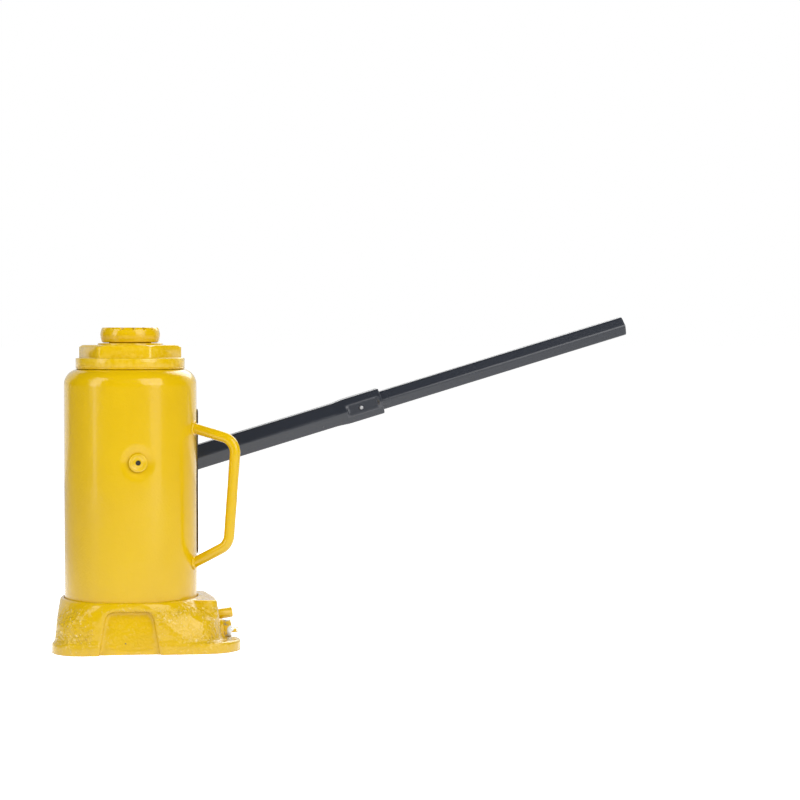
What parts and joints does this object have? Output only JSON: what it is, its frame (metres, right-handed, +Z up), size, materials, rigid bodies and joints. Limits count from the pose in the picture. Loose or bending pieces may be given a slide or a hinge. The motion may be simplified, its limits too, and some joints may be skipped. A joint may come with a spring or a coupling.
{
  "type": "hydraulic bottle jack",
  "caption": "Hydraulic bottle jack with a welded carrying handle, a notched saddle on an extension screw, a side pump and a two-piece pump handle.",
  "frame": {"origin": "on the floor under the ram, on the ram's axis", "axes": "+Z up along the ram, +X to the operator's end, where the pump handle and the release valve are"},
  "size_m": [0.4777, 0.145, 0.2508],
  "materials": {
    "yellow_enamel": "gloss",
    "yellow_cast": "gloss over a rough cast surface",
    "handle_enamel": "semi gloss",
    "label_film": "satin",
    "bare_steel": "turned",
    "ground_steel": "ground",
    "bearing_steel": "polished",
    "spring_steel": "satin",
    "zinc_plate": "satin",
    "copper_ring": "satin",
    "bronze_ring": "satin",
    "seal_rubber": "matte"
  },
  "bodies": {
    "root": {"base_casting": "yellow_cast", "pressure_cylinder": "bare_steel", "cylinder_gasket": "copper_ring", "reservoir_shell": "yellow_enamel", "shell_base_gasket": "seal_rubber", "shell_top_gasket": "seal_rubber", "top_nut": "yellow_enamel", "ram_wiper_seal": "seal_rubber", "carry_handle": "yellow_enamel", "handle_welds": "yellow_enamel", "label_plate": "label_film", "pump_cylinder": "yellow_enamel", "pump_gasket": "copper_ring", "pump_gland_nut": "yellow_enamel", "plunger_wiper": "seal_rubber", "release_gland_nut": "zinc_plate", "suction_strainer": "bare_steel", "inlet_valve_plug": "bare_steel", "outlet_valve_spring": "spring_steel", "outlet_valve_plug": "bare_steel", "safety_valve_spring": "spring_steel", "safety_valve_plug": "yellow_enamel"},
    "filler_plug": {"filler_plug": "yellow_enamel"},
    "ram": {"ram_tube": "yellow_enamel", "ram_piston": "bare_steel", "piston_cup_seal": "seal_rubber", "piston_wear_ring": "bronze_ring", "piston_retaining_nut": "bare_steel"},
    "screw_carrier": {"screw_stop_ring": "bare_steel"},
    "extension_screw": {"extension_screw": "yellow_enamel"},
    "plunger": {"pump_plunger": "ground_steel", "plunger_cup_seal": "seal_rubber"},
    "link": {"link_plate_inner": "yellow_enamel", "link_plate_outer": "yellow_enamel", "link_base_pin": "bare_steel", "link_socket_pin": "bare_steel", "link_pin_clips": "zinc_plate"},
    "lever": {"handle_socket": "yellow_enamel", "plunger_pin": "bare_steel", "plunger_pin_clips": "zinc_plate"},
    "handle_lower": {"handle_lower_tube": "handle_enamel", "handle_rivet": "bare_steel"},
    "handle_upper": {"handle_upper_tube": "handle_enamel"},
    "release_carrier": {"release_oring": "seal_rubber", "release_ball": "bearing_steel"},
    "release_spindle": {"release_spindle": "zinc_plate"},
    "inlet_ball": {"inlet_check_ball": "bearing_steel"},
    "outlet_ball": {"outlet_check_ball": "bearing_steel"},
    "safety_ball": {"safety_valve_ball": "bearing_steel"}
  },
  "joints": [
    {"name": "ram_lift", "type": "slide", "parent": "root", "child": "ram", "axis": [0, 0, 1], "range_m": [0, 0.145]},
    {"name": "screw_rise", "type": "slide", "parent": "ram", "child": "screw_carrier", "axis": [0, 0, 1], "range_m": [0, 0.06]},
    {"name": "screw_turn", "type": "hinge", "parent": "screw_carrier", "child": "extension_screw", "pos_m": [0, 0, 0.2306], "axis": [0, 0, 1], "range_deg": [0, 3600.1]},
    {"name": "link_tilt", "type": "hinge", "parent": "root", "child": "link", "pos_m": [0.02116, 0.067, 0.0465], "axis": [0, -1, 0], "range_deg": [-1, 1]},
    {"name": "lever_pump", "type": "hinge", "parent": "link", "child": "lever", "pos_m": [0.02116, 0.067, 0.1056], "axis": [0, -1, 0], "range_deg": [-24, 24]},
    {"name": "plunger_stroke", "type": "slide", "parent": "root", "child": "plunger", "axis": [0, 0, 1], "range_m": [-0.0095, 0.0095]},
    {"name": "handle_pull", "type": "slide", "parent": "lever", "child": "handle_lower", "axis": [0.9593, 0, 0.2823], "range_m": [0, 0.08]},
    {"name": "upper_tube_pull", "type": "slide", "parent": "handle_lower", "child": "handle_upper", "axis": [0.9593, 0, 0.2823], "range_m": [0, 0.04]},
    {"name": "release_travel", "type": "slide", "parent": "root", "child": "release_carrier", "axis": [1, 0, 0], "range_m": [0, 0.00225]},
    {"name": "release_turn", "type": "hinge", "parent": "release_carrier", "child": "release_spindle", "pos_m": [0.07, -0.014, 0.012], "axis": [1, 0, 0], "range_deg": [0, 540.1]},
    {"name": "filler_plug_pull", "type": "slide", "parent": "root", "child": "filler_plug", "axis": [0, -1, 0], "range_m": [0, 0.014]},
    {"name": "inlet_ball_lift", "type": "slide", "parent": "root", "child": "inlet_ball", "axis": [0, 0, 1], "range_m": [0, 0.0015]},
    {"name": "outlet_ball_drop", "type": "slide", "parent": "root", "child": "outlet_ball", "axis": [0, 0, -1], "range_m": [0, 0.0015], "stiffness_N_per_m": 200, "springref_m": -0.002, "deforming": ["outlet_valve_spring"]},
    {"name": "safety_ball_lift", "type": "slide", "parent": "root", "child": "safety_ball", "axis": [0.9903, 0, 0.1392], "range_m": [0, 0.0015], "stiffness_N_per_m": 200, "springref_m": -0.002, "deforming": ["safety_valve_spring"]}
  ],
  "couplings": [
    {"joint": "screw_turn", "follows": "screw_rise", "rad_per_m": 1047.2},
    {"joint": "link_tilt", "follows": "lever_pump", "ratio": -0.04},
    {"joint": "plunger_stroke", "follows": "lever_pump", "m_per_rad": 0.022305},
    {"joint": "release_turn", "follows": "release_travel", "rad_per_m": 4188.8}
  ]
}
